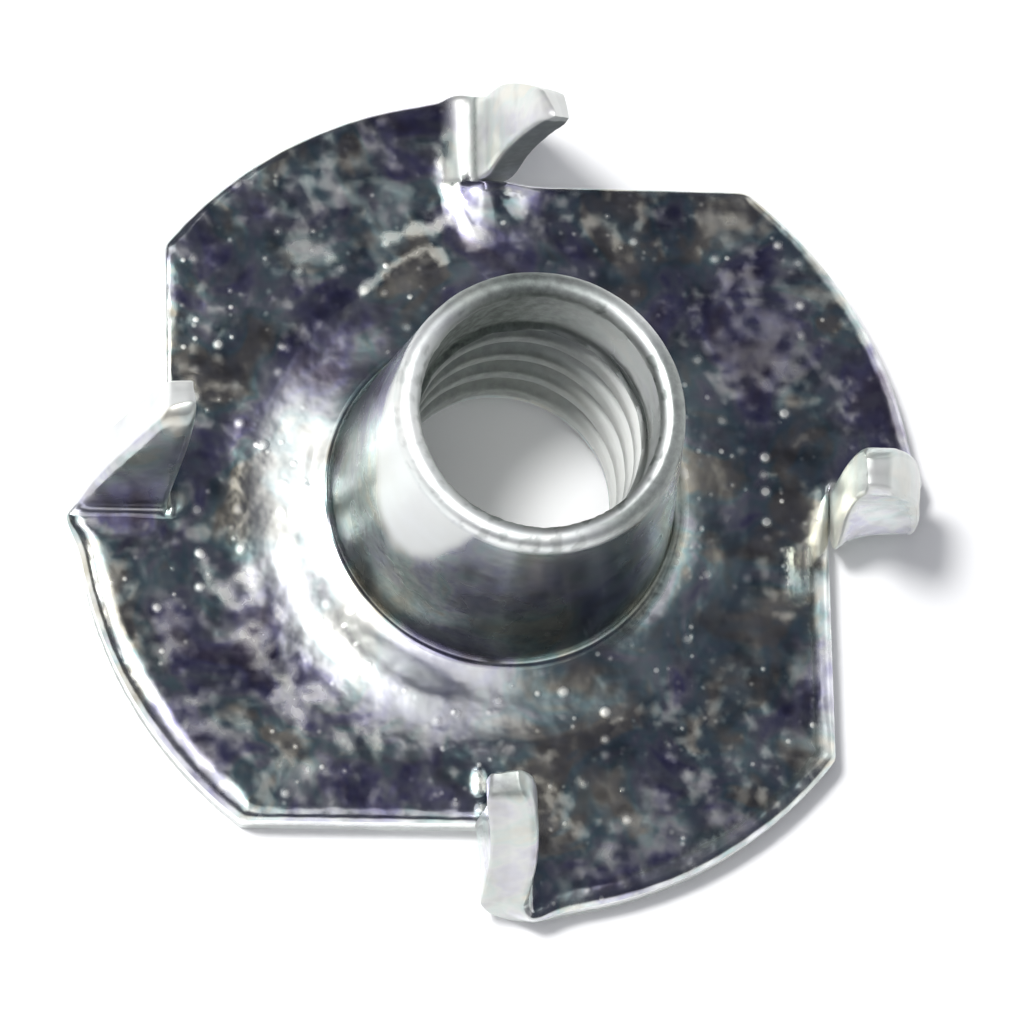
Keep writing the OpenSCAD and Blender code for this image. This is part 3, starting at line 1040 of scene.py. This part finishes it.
def zinc_material():
    """Bright zinc under a thin blue-violet chromate film, pebbled and handled."""
    mat = bpy.data.materials.new("zinc_plate_film")
    mat.use_nodes = True
    n = Nodes(mat.node_tree)
    out = n.add("OutputMaterial")
    bsdf = n.add("BsdfPrincipled")
    n.link(bsdf.outputs[0], out.inputs[0])
    coords = n.add("TexCoord").outputs["Object"]
    torn_and_shade, bare_and_highlight, calm, frost_and_highlight, dull = [
        n.add("Attribute", attribute_name=name).outputs["Fac"] for name in LOOKS
    ]

    # Bumps, each in its own cell, in crowds.
    height = bumps = None
    for scale, share, depth in BUMP_LAYERS:
        cells = n.add("TexVoronoi", feature="F1")
        cells.inputs["Scale"].default_value = scale
        cells.inputs["Randomness"].default_value = 0.75
        n.link(coords, cells.inputs["Vector"])
        pick = n.add("SeparateColor")
        n.link(cells.outputs["Color"], pick.inputs[0])
        size = n.times(n.math("SUBTRACT", pick.outputs[0], share), 1 / (1 - share))
        size = n.math("MAXIMUM", size, 0.0)
        dome = n.greys(cells.outputs["Distance"], (0.0, 1.0), (0.38, 0.0), mode="EASE")
        dome = n.times(dome, size)
        deep = n.times(dome, depth)
        height = deep if height is None else n.plus(height, deep)
        bumps = dome if bumps is None else n.math("MAXIMUM", bumps, dome)
    crowd = n.greys(n.noise(coords, 520.0, 2.0, 0.6), (0.42, 0.15), (0.56, 1.0))
    bumps = n.times(n.times(bumps, crowd), n.math("SUBTRACT", 1.0, calm))
    bumps = n.math("MINIMUM", n.times(bumps, 1.7), 1.0)
    height = n.times(height, crowd)

    # Colour: film, flecks, dirt, pale bump tops as painted glints, and over them the looks
    # of each place.
    colour = n.ramp(n.noise(coords, 480.0, 3.0, 0.6, 0.5), FILM)
    fleck = n.greys(n.noise(coords, 2600.0, 2.0, 0.5, 0.2), (0.45, 0.0), (0.66, 1.0))
    colour = n.mix(n.times(fleck, 0.28), colour, FLECKS)
    dirt = n.greys(n.noise(coords, 1500.0, 2.0, 0.5), (0.32, 0.6), (0.52, 1.0))
    colour = n.mix(1.0, colour, dirt, "MULTIPLY")
    colour = n.mix(n.times(bumps, 0.75), colour, BUMP_TOPS)
    # Frosting, bare zinc and torn metal go over the film where the looks say. So do the painted
    # highlights and the painted shade that these looks also carry.
    colour = n.mix(frost_and_highlight, colour, FROSTING_AND_HIGHLIGHT)
    wear_and_highlight = n.greys(n.noise(coords, 900.0, 2.0, 0.5), (0.3, 0.8), (0.6, 1.0))
    colour = n.mix(n.times(bare_and_highlight, wear_and_highlight), colour, BARE_ZINC_AND_HIGHLIGHT)
    ragged = n.ramp(n.noise(coords, 4200.0, 3.0, 0.6), TORN_METAL_AND_SHADE)
    colour = n.mix(torn_and_shade, colour, ragged)
    n.link(colour, bsdf.inputs["Base Color"])
    metal = n.math("SUBTRACT", 1.0, n.times(frost_and_highlight, 0.8))
    n.link(metal, bsdf.inputs["Metallic"])

    rough = n.greys(n.noise(coords, 800.0, 2.0, 0.5), (0.35, 0.13), (0.65, 0.20))
    for part, more in ((torn_and_shade, 0.15), (frost_and_highlight, 0.20), (dull, 0.28), (bumps, 0.18)):
        rough = n.plus(n.times(part, more), rough)
    n.link(rough, bsdf.inputs["Roughness"])

    # Pebbled relief, and the grain of torn metal.
    pebble = n.noise(coords, 1900.0, 1.5, 0.5)
    height = n.plus(height, n.times(pebble, 0.42))
    height = n.times(height, n.math("SUBTRACT", 1.0, calm))
    grain = n.noise(coords, 5200.0, 1.0, 0.5)
    height = n.plus(height, n.times(n.times(grain, torn_and_shade), 0.3))
    bump_node = n.add("Bump")
    bump_node.inputs["Strength"].default_value = 1.0
    bump_node.inputs["Distance"].default_value = BUMP_DEPTH
    n.link(height, bump_node.inputs["Height"])
    n.link(bump_node.outputs[0], bsdf.inputs["Normal"])
    return mat


nut = build_nut()
nut.data.materials.append(zinc_material())
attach(nut, "root")
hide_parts("tee_nut")

# Floor: half its width, its white, and its glow in the camera and in mirror surfaces.
FLOOR_HALF = 1.5
PAPER = (0.95, 0.95, 0.95, 1.0)
GLOW_STRAIGHT = 0.06
GLOW_MIRRORED = 0.28


def build_floor():
    """Square of white paper under the nut."""
    mesh = bpy.data.meshes.new("studio_floor")
    corners = [(x * FLOOR_HALF, y * FLOOR_HALF, 0) for x, y in ((-1, -1), (1, -1), (1, 1), (-1, 1))]
    mesh.from_pydata(corners, [], [(0, 1, 2, 3)])
    mat = bpy.data.materials.new("studio_floor_paper")
    mat.use_nodes = True
    n = Nodes(mat.node_tree)
    out = n.add("OutputMaterial")
    paper = n.add("BsdfDiffuse")
    paper.inputs["Color"].default_value = PAPER
    glow = n.add("Emission")
    path = n.add("LightPath")
    straight = n.times(path.outputs["Is Camera Ray"], GLOW_STRAIGHT)
    mirrored = n.times(path.outputs["Is Glossy Ray"], GLOW_MIRRORED)
    n.link(n.plus(straight, mirrored), glow.inputs["Strength"])
    both = n.add("AddShader")
    n.link(paper.outputs[0], both.inputs[0])
    n.link(glow.outputs[0], both.inputs[1])
    n.link(both.outputs[0], out.inputs[0])
    mesh.materials.append(mat)
    return put_in_scene("studio_floor", mesh)


build_floor()

# Soft boxes: name, direction from the nut, size and brightness as seen.
LAMP_DISTANCE = 0.5
LAMPS = (
    ("key", (-0.38, 0.12, 0.92), (0.1, 0.1), 75.0, "ELLIPSE"),
    ("wide_left", (-0.38, 0.0, 0.925), (0.56, 0.33), 1.2),
    ("front_top", (-0.03, -0.24, 0.97), (0.22, 0.34), 0.85),
    ("low_left", (-0.8, 0.2, 0.565), (0.16, 0.16), 5.5),
    ("fill_right", (0.6, 0.1, 0.79), (0.12, 0.18), 1.0),
)


def soft_lamp(name, towards, size, radiance, shape="RECTANGLE"):
    """Soft box in the given direction, aimed at the nut."""
    data = bpy.data.lights.new(name, "AREA")
    data.shape = shape
    data.size, data.size_y = size
    area = size[0] * size[1] * (math.pi / 4 if shape == "ELLIPSE" else 1)
    data.energy = radiance * math.pi * area
    lamp = put_in_scene(name, data)
    away = np.array(towards) / np.linalg.norm(towards)
    side = np.cross((0, 0, 1), away)
    side /= np.linalg.norm(side)
    up = np.cross(away, side)
    rows = [[side[i], up[i], away[i], away[i] * LAMP_DISTANCE] for i in range(3)]
    lamp.matrix_world = Matrix(rows + [[0, 0, 0, 1]])


for lamp_values in LAMPS:
    soft_lamp(*lamp_values)

# Colours of the dim room, by the height they are seen at.
ROOM = [
    (0.0, (0.14, 0.14, 0.14)),
    (0.45, (0.066, 0.07, 0.096)),
    (1.0, (0.062, 0.068, 0.106)),
]
# What only mirror surfaces see, by direction: pale walls, a panel and a halo.
WALLS_TOWARDS = (0.75, -0.66, 0)
PANEL_TOWARDS = (0.8, 0.35, 0.48)
HALO_TOWARDS = (-0.38, 0.0, 0.925)


def build_world():
    """A dim room. Mirror surfaces also see walls low down on the right and in front,
    the panel, and the halo round the wide lamp."""
    world = bpy.data.worlds.new("studio_world")
    bpy.context.scene.world = world
    world.use_nodes = True
    n = Nodes(world.node_tree)
    out = n.add("OutputWorld")
    background = n.add("Background")
    n.link(background.outputs[0], out.inputs[0])
    direction = n.add("TexCoord").outputs["Generated"]

    def along(towards):
        dot = n.add("VectorMath", operation="DOT_PRODUCT")
        n.link(direction, dot.inputs[0])
        dot.inputs[1].default_value = tuple(np.array(towards) / np.linalg.norm(towards))
        return dot.outputs["Value"]

    height = along((0, 0, 1))
    room = n.ramp(height, ROOM)
    walls = n.greys(height, (0.0, 1.0), (0.14, 0.95), (0.34, 0.0))
    side = n.plus(n.times(along(WALLS_TOWARDS), 0.5), 0.5)
    side = n.greys(side, (0.34, 0.0), (0.52, 1.0))
    shown = n.mix(1.0, room, n.mix(1.0, walls, side, "MULTIPLY"), "ADD")
    panel = n.greys(along(PANEL_TOWARDS), (0.86, 0.0), (0.93, 0.9))
    shown = n.mix(1.0, shown, panel, "ADD")
    halo = n.greys(along(HALO_TOWARDS), (0.88, 0.0), (0.94, 0.1), (0.97, 0.3))
    mirrored = n.add("LightPath").outputs["Is Glossy Ray"]
    shown = n.mix(1.0, shown, halo, "ADD")
    n.link(n.mix(mirrored, room, shown), background.inputs["Color"])


build_world()

# Camera, matched to the photograph: turns about x, y and z, the origin's place across
# the picture and its distance, and the lens.
TURNS = (-0.3058, 0.1386, 0.0217)
ORIGIN_XY = (-0.4033, -0.026)
DISTANCE = 180.6613
FOCAL_PIXELS = 8000.0
IMAGE_PIXELS = 1024.0
SENSOR = 36.0


def build_camera():
    """Camera at the photograph's viewing angle, set as the scene's camera."""
    rx, ry, rz = TURNS
    m = Matrix.Rotation(rx, 3, "X") @ Matrix.Rotation(ry, 3, "Y") @ Matrix.Rotation(rz, 3, "Z")
    data = bpy.data.cameras.new("camera")
    data.sensor_width = SENSOR
    data.sensor_fit = "HORIZONTAL"
    data.lens = SENSOR * FOCAL_PIXELS / IMAGE_PIXELS
    data.clip_start = 0.01
    data.clip_end = 10.0
    camera = put_in_scene("camera", data)
    back = m.transposed()
    pose = back.to_4x4()
    pose.translation = back @ Vector((-ORIGIN_XY[0], -ORIGIN_XY[1], DISTANCE)) * MM
    camera.matrix_world = pose
    bpy.context.scene.camera = camera


build_camera()
bpy.context.scene.view_settings.view_transform = "Standard"
